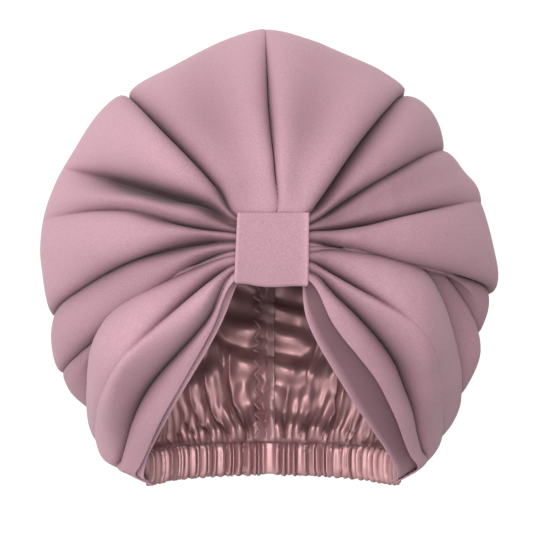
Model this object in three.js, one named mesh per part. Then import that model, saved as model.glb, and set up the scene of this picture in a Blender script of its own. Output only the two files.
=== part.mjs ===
// A silk hair turban: a puffed satin bonnet with folds that fan out from a front band.
// Two outer panels meet on a centre seam, a satin lining sits inside them, a facing
// borders the face opening, and a gathered elastic casing closes the nape.
// Millimetres, +Z up. The face opening looks along -Y, and +X is right in the front view.
// The origin is the centre of the head hollow, level with the lower edge of the front band.
import * as THREE from "three";

// Cloth walls and the clearances between neighbouring pieces
const CROWN_WALL = 1.2;
const LINING_WALL = 1.0;
const FACING_WALL = 1.0;
const GAP = 0.4;
const SEAM_GAP = 1.2;
const LINING_SEAM_GAP = 0.7;

// The dome that the creases lie on: half width, rise above and drop below its centre, half depth
const DOME = { width: 125, rise: 131, drop: 170, depth: 118, y: 10, z: 14 };
const LOWER_SLOPE = { depth: 35, reach: 140 }; // how far the front falls back towards the chin
const BAND_DIMPLE = { depth: 8, spread: 0.05 }; // the pinch of the dome behind the band

// The front band, a folded strip round the gathered neck of the crown
const BAND = { x: 2.7, width: 40.4, top: 39, wall: 2.2, front: -106.5, inside: 6.6, backTop: 30, round: 2 };
const NECK_Y = -101; // outside of the gathered cloth under the band
const BAND_SQUEEZE = 0.35; // share of a lobe's height that is left at the band

// The nape hem: half widths at the tips, depths of centre back and tips, seam level and casing
const HEM = { left: 75, right: 83, backY: 95, tipY: 4, seamZ: -103, height: 20.5 };
const TIP = { from: 0.66, lowest: 0.96, z: -125, lift: 3, tuck: 3 }; // the panels' drop at its ends
const CASING = { inset: 2.7, halfWall: 1.6, ripple: 0.7, ribs: 44, end: 0.95 };
const HEM_GATHER = 1.1;

// How the rays run behind the outline, as shares of their length
const BACK_PULL = { reach: 0.42, outwards: 0.45, up: 0.9 };

// Steps of the mesh: across a lobe, and along a ray in each span between two knots
const LOBE_STEPS = 4;
const SPAN_STEPS = [1, 4, 5, 5, 4, 3, 3];
const RIM_KNOT = 4;
const LOBE_ROUND = 0.75; // below 1 a lobe is fuller than a sine

// Creases of a panel from the centre seam to the face opening, with the lobe after each.
// leave, near, far and rim are [x, z] in the front view, or [x, z, y] off the dome: at the
// band, on the front, and on the outline. The lists of three hold values at near, far and rim:
// sink is how deep the crease lies under the dome, or above it where negative, and puff is the
// lobe's height for its width. lean pushes the lobe over the next crease, dip is a soft valley
// along its middle, and tail is the share of the hem, from centre back to tip, where it ends.
const LEFT_CREASES = {
  seam: {
    leave: [6, 41], near: [5, 65], far: [2, 98], rim: [-1, 152], tail: 0,
    sink: [2, 4, 2], puff: [0.16, 0.16, 0.05], lean: 0, dip: 0.3,
  },
  top: {
    leave: [-17, 38], near: [-29, 55], far: [-61, 88], rim: [-88, 112], tail: 0.13,
    sink: [2, 4, 3], puff: [0.36, 0.34, 0.1], lean: -0.42, dip: 0,
  },
  pocket: {
    leave: [-18, 33], near: [-37, 45], far: [-72, 58], rim: [-121, 66], tail: 0.26,
    sink: [5, 8, 0], puff: [0.42, 0.42, 0.06], lean: 0.05, dip: 0,
  },
  cheek: {
    leave: [-18, 28], near: [-46, 32], far: [-84, 42], rim: [-133, 34], tail: 0.37,
    sink: [2, 3, 0], puff: [0.34, 0.34, 0.1], lean: 0.2, dip: 0,
  },
  shelf: {
    leave: [-18, 23], near: [-40, 22], far: [-82, 14], rim: [-134, -6], tail: 0.49,
    sink: [3, 4, 2], puff: [0.42, 0.42, 0.2], lean: 0.42, dip: 0,
  },
  drape: {
    leave: [-18, 18], near: [-37, 13], far: [-76, -10], rim: [-121, -48], tail: 0.61,
    sink: [3, 5, 3], puff: [0.1, 0.1, 0.1], lean: 0, dip: 0,
  },
  under: {
    leave: [-18, 15], near: [-37, 9], far: [-82, -18], rim: [-109, -72], tail: 0.72,
    sink: [3, 5, 3], puff: [0.4, 0.14, 0.14], lean: -0.1, dip: 0,
  },
  tuck: {
    leave: [-18, 10], near: [-33, 1], far: [-68, -36], rim: [-97, -84], tail: 0.82,
    sink: [1, -12, -11], puff: [0.36, 0.16, 0.16], lean: 0.1, dip: 0,
  },
  border: {
    leave: [-18, 6], near: [-31, -15], far: [-58, -54], rim: [-91, -103, 8], tail: 0.92,
    sink: [2, 3, 2], puff: [0.12, 0.12, 0.1], lean: 0, dip: 0,
  },
  opening: {
    leave: [-17, 2, -100], near: [-31, -27, -94], far: [-58, -74, -58], rim: [-77, -112, -8], tail: 1,
    sink: [0, 0, 0],
  },
};
const RIGHT_CREASES = {
  seam: {
    leave: [6, 41], near: [5, 65], far: [2, 98], rim: [-1, 152], tail: 0,
    sink: [2, 4, 2], puff: [0.18, 0.18, 0.07], lean: 0.05, dip: 0.25,
  },
  top: {
    leave: [23, 38], near: [32, 49], far: [53, 80], rim: [83, 114], tail: 0.13,
    sink: [3, 5, 3], puff: [0.36, 0.36, 0.2], lean: 0.05, dip: 0,
  },
  fan: {
    leave: [24, 33], near: [41, 44], far: [70, 62], rim: [109, 80], tail: 0.26,
    sink: [3, 4, 2], puff: [0.34, 0.34, 0.14], lean: 0.05, dip: 0.3,
  },
  cheek: {
    leave: [24, 29], near: [47, 31], far: [80, 38], rim: [128, 47], tail: 0.37,
    sink: [3, 4, 0], puff: [0.42, 0.42, 0.18], lean: 0.35, dip: 0,
  },
  shelf: {
    leave: [24, 23], near: [42, 20], far: [85, 13], rim: [134, -2], tail: 0.49,
    sink: [3, 5, 3], puff: [0.12, 0.12, 0.1], lean: 0, dip: 0,
  },
  drape: {
    leave: [24, 20], near: [41, 16], far: [92, 6], rim: [128, -36], tail: 0.61,
    sink: [3, 5, 4], puff: [0.12, 0.12, 0.12], lean: 0, dip: 0,
  },
  under: {
    leave: [24, 17], near: [41, 12], far: [88, -2], rim: [120, -58], tail: 0.72,
    sink: [3, 5, 3], puff: [0.34, 0.14, 0.14], lean: -0.1, dip: 0,
  },
  tuck: {
    leave: [24, 12], near: [38, 5], far: [74, -20], rim: [105, -76], tail: 0.82,
    sink: [2, -11, -10], puff: [0.36, 0.16, 0.16], lean: 0.1, dip: 0,
  },
  border: {
    leave: [24, 6], near: [42, -8], far: [71, -38], rim: [100, -98, 6], tail: 0.92,
    sink: [2, 3, 2], puff: [0.12, 0.12, 0.1], lean: 0, dip: 0,
  },
  opening: {
    leave: [23, 2, -100], near: [38, -24, -95], far: [66, -60, -66], rim: [87, -105, -14], tail: 1,
    sink: [0, 0, 0],
  },
};

// Front edges of the facings, [x, z, y], inside the crown's edges. The right one stands clear.
const FACING_EDGES = {
  left: [[-16, -6, -94], [-28, -27, -91], [-55, -74, -55], [-72, -110, -7], [-70, -116, -2]],
  right: [[21, -6, -94], [24, -22, -91], [46, -62, -66], [75, -106, -15], [75, -114, -6]],
};
const FACING = { tuck: 0.15, depth: 0.7, steps: 3, from: 1.35, to: 4.25 }; // from and to are in knots

// The lining's depth under the creases, its folds, and the tape on its back seam
const LINING_DEPTH = { band: 7, front: 11, back: 5 };
const LINING_ROWS = [1.35, 2, 2.5, 3, 3.5, 4, 4.5, 5, 5.3, 5.6, 5.9, 6.2, 6.5, 7];
const LINING_FOLDS = { ruche: 1.6, gather: 1.4, from: 5, reach: 5 };
const SEAM_TAPE = { halfWidth: 6, wall: 1.2, scallop: 1.6, ripples: 4, from: 4.5 };

const colours = { satin: 0xb9909c, sheen: 0xa87c82 };
const satin = new THREE.MeshStandardMaterial({ color: colours.satin, roughness: 0.55, metalness: 0 });
const shiny = new THREE.MeshStandardMaterial({ color: colours.sheen, roughness: 0.3, metalness: 0 });

const smooth = (from, to, value) => THREE.MathUtils.smoothstep(value, from, to);
const mix = THREE.MathUtils.lerp;

// Shares of the dome's half axes, squared and summed: 1 on its outline
function domeReach(x, z) {
  const height = z > DOME.z ? DOME.rise : DOME.drop;
  return (x / DOME.width) ** 2 + ((z - DOME.z) / height) ** 2;
}

// Depth of the dome's front at a point of the front view
function domeDepth(x, z) {
  const reach = domeReach(x, z);
  const below = Math.max(0, DOME.z - z) / LOWER_SLOPE.reach;
  const front = DOME.y - DOME.depth * Math.sqrt(Math.max(0, 1 - reach));
  return front + LOWER_SLOPE.depth * below ** 2 + BAND_DIMPLE.depth * Math.exp(-reach / BAND_DIMPLE.spread);
}

// Outward direction of the dome at a point in space
function domeNormal(point) {
  const height = point.z > DOME.z ? DOME.rise : DOME.drop;
  return new THREE.Vector3(
    point.x / DOME.width ** 2,
    (point.y - DOME.y) / DOME.depth ** 2,
    (point.z - DOME.z) / height ** 2,
  ).normalize();
}

// A point of the hem, by its share from centre back to the tip and its distance inside
function hemPoint(side, share, inset, z) {
  const turn = (share * Math.PI) / 2;
  const inside = inset + TIP.tuck * smooth(TIP.from, 1, share) ** 2;
  const halfWidth = (side < 0 ? HEM.left : HEM.right) - inside;
  const depth = HEM.backY - HEM.tipY - inside;
  return new THREE.Vector3(side * halfWidth * Math.sin(turn), HEM.tipY + depth * Math.cos(turn), z);
}

// Where the crown meets the hem: on its seam at the back, and down to its rounded tips
function panelEnd(side, share) {
  const drop = mix(HEM.seamZ, TIP.z, smooth(TIP.from, TIP.lowest, share));
  return hemPoint(side, share, 0, drop + TIP.lift * smooth(TIP.lowest, 1, share));
}

function liningEnd(side, share) {
  return hemPoint(side, share, 0, HEM.seamZ + LINING_WALL);
}

// A point of the front view on the dome, sunk under it by some depth
function onDome([x, z, y], sink) {
  const point = new THREE.Vector3(x, y ?? domeDepth(x, z), z);
  return point.addScaledVector(domeNormal(point), -sink);
}

// A crease as a curve: neck under the band, band edge, front, outline, back and hem
function creaseCurve(side, crease, down, end) {
  const neck = new THREE.Vector3(BAND.x + side * GAP, NECK_Y, mix(BAND.top - 3, 3, down));
  const [x, z] = crease.leave;
  const leave = new THREE.Vector3(x, NECK_Y, z);
  const places = [crease.near, crease.far, crease.rim];
  const [near, far, rim] = places.map((place, i) => onDome(place, crease.sink[i]));
  const reach = rim.distanceTo(end) * BACK_PULL.reach;
  const outwards = new THREE.Vector3(end.x, end.y - HEM.tipY, 0).normalize();
  const arrive = outwards.multiplyScalar(BACK_PULL.outwards).setZ(BACK_PULL.up).multiplyScalar(reach);
  const back = new THREE.CubicBezierCurve3(
    rim,
    new THREE.Vector3(rim.x, rim.y + reach, rim.z),
    end.clone().add(arrive),
    end,
  );
  const knots = [neck, leave, near, far, rim, back.getPoint(1 / 3), back.getPoint(2 / 3), end];
  return new THREE.CatmullRomCurve3(knots, false, "centripetal");
}

// Places of the mesh rows, in knots from the neck
const LAST_KNOT = SPAN_STEPS.length;
const ROWS = SPAN_STEPS.flatMap((steps, span) => Array.from({ length: steps }, (_, i) => span + i / steps));
ROWS.push(LAST_KNOT);

function creaseCurves(side, creases, endOf) {
  return creases.map((crease, i) => {
    return creaseCurve(side, crease, i / (creases.length - 1), endOf(side, crease.tail));
  });
}

// A value given at near, far and rim, at any place along a ray
function alongRay([near, far, rim], knot) {
  return knot < 3 ? mix(near, far, smooth(2, 3, knot)) : mix(far, rim, smooth(3, RIM_KNOT, knot));
}

// A point of a lobe: share is the way from its crease to the next one
function lobePoint(curves, creases, lobe, share, knot) {
  const { puff, lean, dip } = creases[lobe];
  const from = curves[lobe].getPoint(knot / LAST_KNOT);
  const to = curves[lobe + 1].getPoint(knot / LAST_KNOT);
  const arch = Math.sin(Math.PI * share);
  const behind = 1 - smooth(RIM_KNOT, LAST_KNOT - 1, knot);
  const rise = alongRay(puff, knot) * behind * mix(BAND_SQUEEZE, 1, smooth(1, 2, knot));
  const valley = dip * Math.exp(-(((share - 0.5) / 0.16) ** 2)) * smooth(2, 3, knot);
  const height = from.distanceTo(to) * rise * (arch ** LOBE_ROUND - valley);
  const point = from.clone().lerp(to, share + lean * arch * behind * smooth(1, 2.5, knot));
  return point.addScaledVector(domeNormal(point), height);
}

// The outer surface of a panel, as rows of points from the centre seam to the opening
function panelGrid(side, creases) {
  const curves = creaseCurves(side, creases, panelEnd);
  const columns = (creases.length - 1) * LOBE_STEPS;
  return ROWS.map((knot) => Array.from({ length: columns + 1 }, (_, column) => {
    const lobe = Math.min(Math.floor(column / LOBE_STEPS), creases.length - 2);
    const point = lobePoint(curves, creases, lobe, column / LOBE_STEPS - lobe, knot);
    const gather = HEM_GATHER * smooth(LAST_KNOT - 1, LAST_KNOT, knot) * (column % 2);
    point.addScaledVector(domeNormal(point), gather);
    point.x += (side * SEAM_GAP * (1 - column / columns)) / 2;
    return point;
  }));
}

// Unit normals of a grid of points, away from the head
function gridNormals(grid, side) {
  const { clamp } = THREE.MathUtils;
  const at = (i, j) => grid[clamp(i, 0, grid.length - 1)][clamp(j, 0, grid[0].length - 1)];
  return grid.map((row, i) => row.map((_, j) => {
    const along = at(i + 1, j).clone().sub(at(i - 1, j));
    const across = at(i, j + 1).clone().sub(at(i, j - 1));
    return along.cross(across).normalize().multiplyScalar(side);
  }));
}

// A closed wall between a grid of points and the same grid moved inwards
function wallGeometry(grid, side, thickness) {
  const normals = gridNormals(grid, side);
  const inner = grid.map((row, i) => row.map((p, j) => p.clone().addScaledVector(normals[i][j], -thickness)));
  const rows = grid.length;
  const columns = grid[0].length;
  const points = [...grid.flat(), ...inner.flat()];
  const outside = (i, j) => i * columns + j;
  const inside = (i, j) => rows * columns + outside(i, j);
  const faces = [];
  const quad = (a, b, c, d) => faces.push(...(side > 0 ? [a, b, c, a, c, d] : [a, c, b, a, d, c]));
  for (let i = 0; i < rows - 1; i++) {
    for (let j = 0; j < columns - 1; j++) {
      quad(outside(i, j), outside(i + 1, j), outside(i + 1, j + 1), outside(i, j + 1));
      quad(inside(i, j), inside(i, j + 1), inside(i + 1, j + 1), inside(i + 1, j));
    }
    const last = columns - 1;
    quad(outside(i, 0), inside(i, 0), inside(i + 1, 0), outside(i + 1, 0));
    quad(outside(i, last), outside(i + 1, last), inside(i + 1, last), inside(i, last));
  }
  for (let j = 0; j < columns - 1; j++) {
    const last = rows - 1;
    quad(outside(0, j), outside(0, j + 1), inside(0, j + 1), inside(0, j));
    quad(outside(last, j), inside(last, j), inside(last, j + 1), outside(last, j + 1));
  }
  return new THREE.BufferGeometry().setFromPoints(points).setIndex(faces);
}

// A closed bar through rings of points, with flat ends
function barGeometry(rings) {
  const count = rings[0].length;
  const faces = [];
  for (let i = 0; i < rings.length - 1; i++) {
    for (let j = 0; j < count; j++) {
      const [a, b] = [i * count + j, i * count + ((j + 1) % count)];
      faces.push(a, b, b + count, a, b + count, a + count);
    }
  }
  const last = (rings.length - 1) * count;
  for (let j = 1; j < count - 1; j++) {
    faces.push(0, j + 1, j, last, last + j, last + j + 1);
  }
  return new THREE.BufferGeometry().setFromPoints(rings.flat()).setIndex(faces);
}

function piece(name, geometry, material) {
  const mesh = new THREE.Mesh(geometry, material);
  mesh.name = name;
  return mesh;
}

function crownPanel(name, side, creases) {
  return piece(name, wallGeometry(panelGrid(side, creases), side, CROWN_WALL), satin);
}

// Depth of the lining under the creases along a ray
function liningDepth(knot) {
  const inFront = mix(LINING_DEPTH.band, LINING_DEPTH.front, smooth(LINING_ROWS[0], 3, knot));
  return mix(inFront, LINING_DEPTH.back, smooth(RIM_KNOT, LAST_KNOT - 1, knot));
}

// The lining's outer points: a column under each crease and one between, from the centre
// seam to the border crease, ruched beside the back seam and gathered above the hem
function liningGrid(side, creases) {
  const { ruche, gather, from, reach } = LINING_FOLDS;
  const curves = creaseCurves(side, creases, liningEnd).slice(0, -1);
  const columns = (curves.length - 1) * 2;
  return LINING_ROWS.map((knot, row) => Array.from({ length: columns + 1 }, (_, column) => {
    const [a, b] = [Math.floor(column / 2), Math.ceil(column / 2)];
    const point = curves[a].getPoint(knot / LAST_KNOT).lerp(curves[b].getPoint(knot / LAST_KNOT), 0.5);
    const ruching = ruche * (row % 2) * smooth(from, from + 0.3, knot) * (1 - smooth(0, reach, column));
    const gathering = gather * (column % 2) * smooth(from, LAST_KNOT, knot);
    point.addScaledVector(domeNormal(point), -liningDepth(knot) - ruching - gathering);
    point.x += (side * LINING_SEAM_GAP * (1 - column / columns)) / 2;
    point.z = knot < LAST_KNOT ? point.z : HEM.seamZ + GAP;
    return point;
  }));
}

function liningPanel(name, side, creases) {
  return piece(name, wallGeometry(liningGrid(side, creases), side, LINING_WALL), shiny);
}

// A facing: a strip from its own front edge to just under the border crease
function facing(name, side, creases, edge) {
  const { tuck, depth, steps, from, to } = FACING;
  const curves = creaseCurves(side, creases, panelEnd);
  const lobe = creases.length - 2;
  const front = new THREE.CatmullRomCurve3(edge.map(([x, z, y]) => new THREE.Vector3(x, y, z)), false);
  const rows = [from, ...ROWS.filter((knot) => knot > from + 0.1 && knot <= to)];
  const grid = rows.map((knot, i) => {
    const under = lobePoint(curves, creases, lobe, tuck, knot);
    under.addScaledVector(domeNormal(under), -depth - CROWN_WALL);
    const free = front.getPoint(i / (rows.length - 1));
    return Array.from({ length: steps + 1 }, (_, j) => under.clone().lerp(free, j / steps));
  });
  return piece(name, wallGeometry(grid, side, FACING_WALL), satin);
}

// The front band: a folded strip in front of, under and behind the gathered neck
function frontBand() {
  const { wall, front, inside, top, backTop, round, width, x } = BAND;
  const frontInside = front + wall;
  const backInside = frontInside + inside;
  const back = backInside + wall;
  const section = new THREE.Shape();
  section.moveTo(front, top - wall / 2);
  section.lineTo(front, round - wall);
  section.absarc(front + round, round - wall, round, Math.PI, 1.5 * Math.PI, false);
  section.lineTo(back - round, -wall);
  section.absarc(back - round, round - wall, round, 1.5 * Math.PI, 2 * Math.PI, false);
  section.lineTo(back, backTop);
  section.lineTo(backInside, backTop);
  section.lineTo(backInside, 0);
  section.lineTo(frontInside, 0);
  section.lineTo(frontInside, top - wall / 2);
  section.absarc(front + wall / 2, top - wall / 2, wall / 2, 0, Math.PI, false);
  const settings = { depth: width, bevelEnabled: false, curveSegments: 5 };
  const geometry = new THREE.ExtrudeGeometry(section, settings);
  const mesh = piece("front_band", geometry, satin);
  mesh.setRotationFromMatrix(new THREE.Matrix4().makeBasis(
    new THREE.Vector3(0, 1, 0),
    new THREE.Vector3(0, 0, 1),
    new THREE.Vector3(1, 0, 0),
  ));
  mesh.position.x = x - width / 2;
  return mesh;
}

// The elastic casing: a ribbed band from tip to tip round the nape
function elasticHem() {
  const { inset, halfWall, ripple, ribs, end } = CASING;
  const columns = ribs * 2;
  const rings = Array.from({ length: columns + 1 }, (_, column) => {
    const share = mix(-end, end, column / columns);
    const side = share < 0 ? -1 : 1;
    const wave = column % 2 ? 2 * ripple : 0;
    const top = HEM.seamZ - GAP;
    const bottom = top - HEM.height;
    const place = (offset, z) => hemPoint(side, Math.abs(share), inset + offset, z);
    return [
      place(halfWall, top),
      place(halfWall + wave, mix(top, bottom, 0.3)),
      place(halfWall + wave, bottom),
      place(-halfWall + wave, bottom),
      place(-halfWall + wave, mix(top, bottom, 0.3)),
      place(-halfWall, top),
    ];
  });
  return piece("elastic_hem", barGeometry(rings), shiny);
}

// The ruched tape over the lining's back seam, scalloped along its left edge
function backSeamTape(leftCreases, rightCreases) {
  const { halfWidth, wall, scallop, ripples, from } = SEAM_TAPE;
  const rows = LINING_ROWS.map((knot, row) => ({ knot, row })).filter(({ knot }) => knot >= from);
  const [left, right] = [liningGrid(-1, leftCreases), liningGrid(1, rightCreases)];
  const beside = (grid, row) => {
    const [seam, next] = grid[row];
    return seam.clone().lerp(next, halfWidth / seam.distanceTo(next));
  };
  const rings = [];
  for (let i = 0; i < (rows.length - 1) * ripples + 1; i++) {
    const row = rows[Math.min(Math.floor(i / ripples), rows.length - 2)].row;
    const share = i / ripples - (row - rows[0].row);
    const across = [row, row + 1].map((r) => [beside(left, r), left[r][0].clone(), beside(right, r)]);
    const line = across[0].map((point, j) => point.lerp(across[1][j], share));
    const inwards = domeNormal(line[1]).negate();
    line[0].x -= i % 2 ? scallop : 0;
    const layer = (depth) => line.map((point) => point.clone().addScaledVector(inwards, depth));
    const clear = LINING_WALL + GAP;
    rings.push([...layer(clear), ...layer(clear + wall).reverse()]);
  }
  return piece("back_seam_tape", barGeometry(rings), shiny);
}

const leftCreases = Object.values(LEFT_CREASES);
const rightCreases = Object.values(RIGHT_CREASES);
const turban = new THREE.Group();
turban.add(
  crownPanel("crown_left", -1, leftCreases),
  crownPanel("crown_right", 1, rightCreases),
  liningPanel("lining_left", -1, leftCreases),
  liningPanel("lining_right", 1, rightCreases),
  facing("facing_left", -1, leftCreases, FACING_EDGES.left),
  facing("facing_right", 1, rightCreases, FACING_EDGES.right),
  frontBand(),
  elasticHem(),
  backSeamTape(leftCreases, rightCreases),
);

export default turban;
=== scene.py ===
import math

import bmesh
import bpy
import numpy as np
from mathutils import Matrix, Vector


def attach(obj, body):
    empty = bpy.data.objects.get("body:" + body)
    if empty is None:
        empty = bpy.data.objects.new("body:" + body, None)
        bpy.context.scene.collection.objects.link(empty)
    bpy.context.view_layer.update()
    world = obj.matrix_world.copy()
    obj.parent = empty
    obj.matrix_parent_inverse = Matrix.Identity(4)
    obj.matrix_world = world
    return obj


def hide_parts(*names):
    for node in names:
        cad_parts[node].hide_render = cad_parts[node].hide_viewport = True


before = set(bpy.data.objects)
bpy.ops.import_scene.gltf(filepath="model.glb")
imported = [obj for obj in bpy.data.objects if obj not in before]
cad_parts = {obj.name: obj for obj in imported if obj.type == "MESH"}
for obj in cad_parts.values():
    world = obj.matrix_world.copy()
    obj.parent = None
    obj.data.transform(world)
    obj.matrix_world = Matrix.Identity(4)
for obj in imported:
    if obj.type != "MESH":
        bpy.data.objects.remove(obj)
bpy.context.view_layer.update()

# A silk hair turban: matte mauve satin outside, its glossy side as the lining.
# Sizes are in millimetres in the model's own frame, and meshes are made in metres.
MM = 0.001

# Camera of the front view: level, in front of the part, framed as a square picture
CAMERA = dict(distance=1400, height=9, picture_px=533, mm_per_px=0.6, sensor=36)

# Cloth thickness of each kind of piece
CROWN_WALL = 1.0
LINING_WALL = 0.6
FACING_WALL = 1.1

# The dome that the creases lie on: half width, rise above and drop below its centre, half depth
DOME = dict(width=125, rise=131, drop=170, depth=118, y=10, z=14)
LOWER_SLOPE = dict(depth=35, reach=140)
BAND_DIMPLE = dict(depth=8, spread=0.05)

# The front band, its painted shade that is lighter at its rounded side folds, the sway of its face, its lower
# edge and its mesh steps
BAND = dict(x=2.7, width=40.4, top=39, wall=2.2, front=-106.5, inside=6.6, back_top=30, top_left=-15.8,
            top_right=23.4, fold=0.8, fold_run=1.6, bow=1.8, shade=0.23, fold_clear=0.9)
BAND_SWAY = dict(depth=0.35, wavelength=22, twist=0.6, up=5, across=3)
BAND_EDGE = dict(rise=0.5, lift=1.6, lift_reach=0.35, ripple=0.3, ripples=9)
BAND_STEPS = dict(corner=9, front=40, under=6, back=20, across=60)

# The gathered neck under the band, and the share of a lobe's height that is left there
NECK = dict(y=-103.4, half_gap=0.4, margin=3)
BAND_SQUEEZE = 0.25

# The nape hem and the drop of the panels at its tips, with each tip's level and how far it closes in
HEM = dict(left=75, right=83, back_y=95, tip_y=4, seam_z=-103, height=20.5)
TIP = dict(start=0.66, lowest=1, tuck=3, flare=4, full=0.85, turn=0.9, bulge=1.4,
           left=(-123.5, 7), right=(-121, 5))

# How the rays run behind the outline
BACK_PULL = dict(reach=0.42, outwards=0.45, up=0.9, straight=(0.7, 0.92))

# Knots of a ray by number: at the band's edge, at near, far and rim, and at the hem
BAND_KNOT = 1
NEAR_KNOT = 2
FAR_KNOT = 3
RIM_KNOT = 4
LAST_KNOT = 7

# A lobe's roundness, the most of its width and the least run that the slope into a crease takes, the slot at
# a crease's bottom, the soft valley along a lobe with the painted shade in it, and the seam groove along the
# back
LOBE_ROUND = 0.8
SLOPE_SHARE = 0.4
SLOPE_LEAST = 0.5
SLOT = dict(depths=(5, 5, 5), run=1.2)
DIP = dict(at=0.45, spread=0.24, shade=20)
SEAM_GROOVE = dict(depth=1.4, run=3)

# Painted shade in the creases: the crease depth that paints it darkest, how far the painted shade reaches
# beside and along the slope, and its colour and strength
FOLD_SHADE = dict(depth=10, run=1.5, share=0.65, strength=0.85, colour=(0.085, 0.03, 0.038))

# Creases of a panel from the centre seam to the face opening, with the lobe after each.
# leave, near, far and rim are (x, z) in the front view, or (x, z, y) off the dome. Lists of
# three hold values at near, far and rim: sink is how far the cloth lies under the dome, depth
# the crease's own depth in mm, before and after the runs in mm of the slopes into it from the
# lobe before and the lobe after, lap how far the lobe after lies over the one before, or under
# it where negative, puff the lobe's height for its width and dip a soft valley along it. open is
# how far the fold stands open before its slope, and slot the depth of the slot at its bottom.
# A recess is a lobe that lies down in the fold between its two creases.
# tail is the share of the hem, from centre back to tip, where the crease ends. A list that isn't
# given is flat.
FLAT = (0, 0, 0)
LEFT_CREASES = dict(
    seam=dict(leave=(6, 41), near=(5, 65), far=(2, 98), rim=(-1, 153), tail=0,
              depth=(3, 6, 0.5), before=(4, 4, 4), after=(4, 5, 5),
              puff=(0.06, 0.06, -0.03), dip=(4, 9, 2)),
    top=dict(leave=(-17, 38), near=(-29, 55), far=(-61, 88), rim=(-88, 114), tail=0.13,
             depth=(9, 12, 6), before=(12, 14, 5), after=(2.5, 3, 4), lap=(2, 3, 3),
             puff=(0.2, 0.1, 0)),
    pocket=dict(leave=(-18, 33), near=(-37, 45), far=(-62, 53), rim=(-123, 67), tail=0.26,
                depth=(14, 20, 0), before=(4, 5, 8), after=(4, 7, 8), lap=(-2, -4, 0), open=(1, 3.5, 0),
                puff=(0.3, 0.25, 0)),
    cheek=dict(leave=(-18, 28), near=(-46, 32), far=(-84, 42), rim=(-136, 34), tail=0.37,
               depth=(10, 4, 0), before=(5, 10, 10), after=(3, 10, 10), lap=(2, 0, 0),
               puff=(0.25, 0.12, 0)),
    shelf=dict(leave=(-18, 23), near=(-40, 22), far=(-82, 14), rim=(-133, -18), tail=0.49,
               depth=(11, 11, 6), before=(4, 4, 4), after=(5, 14, 14), lap=(0, -5, -5),
               puff=(0.25, 0.16, 0.05)),
    drape=dict(leave=(-18, 18), near=(-37, 13), far=(-76, -10), rim=(-127, -55), tail=0.61, sink=(0, 4, 0),
               depth=(9, 12, 3), before=(5, 5, 6), after=(8, 20, 20), lap=(0, -3, -3),
               puff=(0, 0.02, 0.05), recess=True),
    under=dict(leave=(-18, 15), near=(-37, 10), far=(-95, -20), rim=(-109, -82), tail=0.72, sink=(0, 4, 0),
               depth=(8, 11, 4), before=(8, 20, 20), after=(6, 5, 4), lap=(0, 4, 4),
               puff=(0.1, 0.1, 0.08), slot=(0, 3, 3)),
    tuck=dict(leave=(-18, 10), near=(-33, 1), far=(-76, -42), rim=(-97, -94), tail=0.82, sink=(0, -12, -9),
              depth=(8, 0, 0), before=(4, 6, 6), after=(3, 6, 6), lap=(1, 0, 0),
              puff=(0.25, 0.1, 0.06)),
    border=dict(leave=(-18, 6), near=(-35, -21), far=(-77, -67), rim=(-92, -109, 6), tail=0.92,
                depth=(8, 11, 6), before=(4, 4, 4), after=(4, 8, 8), lap=(0, -3, -3),
                puff=(0.12, 0.12, 0.1)),
    opening=dict(leave=(-17, 2, -100), near=(-31, -27, -94), far=(-58, -74, -58),
                 rim=(-77, -112, -8), tail=1),
)
RIGHT_CREASES = dict(
    seam=dict(leave=(6, 41), near=(5, 65), far=(2, 98), rim=(-1, 153), tail=0,
              depth=(3, 6, 0.5), before=(4, 5, 5), after=(3, 4, 4),
              puff=(0.06, 0.06, -0.02), dip=(4, 9, 1)),
    top=dict(leave=(23, 38), near=(32, 49), far=(53, 80), rim=(85, 117), tail=0.13,
             depth=(11, 14, 6), before=(4, 4, 3), after=(4, 7, 8), lap=(-2, -3, -3),
             puff=(0.25, 0.14, 0.06)),
    fan=dict(leave=(24, 33), near=(41, 44), far=(70, 62), rim=(109, 80), tail=0.26,
             depth=(12, 7, 2), before=(5, 6, 8), after=(5, 8, 8), lap=(-2, -2, 0),
             puff=(0.25, 0.12, 0.1), dip=(3, 3, 2)),
    cheek=dict(leave=(24, 29), near=(47, 31), far=(80, 38), rim=(129, 47), tail=0.37,
               depth=(11, 6, 0), before=(6, 10, 10), after=(3, 4, 8), lap=(2, 3, 0),
               puff=(0.25, 0.14, 0.02)),
    shelf=dict(leave=(24, 23), near=(42, 20), far=(85, 13), rim=(139, -3), tail=0.49,
               depth=(9, 11, 6), before=(4, 4, 4), after=(4, 16, 20), lap=(0, -5, -5),
               puff=(0, 0, 0.06), recess=True),
    drape=dict(leave=(24, 20), near=(42, 19.4), far=(112, 7), rim=(130, -31), tail=0.61, sink=(0, 6, 0),
               depth=(8, 8, 3), before=(8, 8, 8), after=(8, 8, 8), lap=(0, -2, -2),
               puff=(0, 0, 0.08), recess=True, slot=(0, 0, 2)),
    under=dict(leave=(24, 17), near=(42, 18.6), far=(99, 4), rim=(119, -73), tail=0.72, sink=(0, 6, 0),
               depth=(8, 8, 4), before=(8, 16, 16), after=(6, 5, 4), lap=(0, 4, 4),
               puff=(0.15, 0.08, 0.08), slot=(0, 0, 3)),
    tuck=dict(leave=(24, 12), near=(38, 5), far=(80, -24), rim=(101, -90), tail=0.82, sink=(0, -11, -8),
              depth=(9, 0, 0), before=(4, 6, 6), after=(3, 6, 6), lap=(2, 0, 0),
              puff=(0.25, 0.1, 0.06)),
    border=dict(leave=(24, 6), near=(42, -8), far=(80, -47), rim=(97, -102, 5), tail=0.92,
                depth=(8, 11, 6), before=(4, 4, 4), after=(4, 8, 8), lap=(0, -3, -3),
                puff=(0.12, 0.12, 0.1)),
    opening=dict(leave=(23, 2, -100), near=(38, -24, -95), far=(66, -60, -66),
                 rim=(87, -105, -14), tail=1),
)
SIDES = dict(left=(-1, list(LEFT_CREASES.values())), right=(1, list(RIGHT_CREASES.values())))

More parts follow.
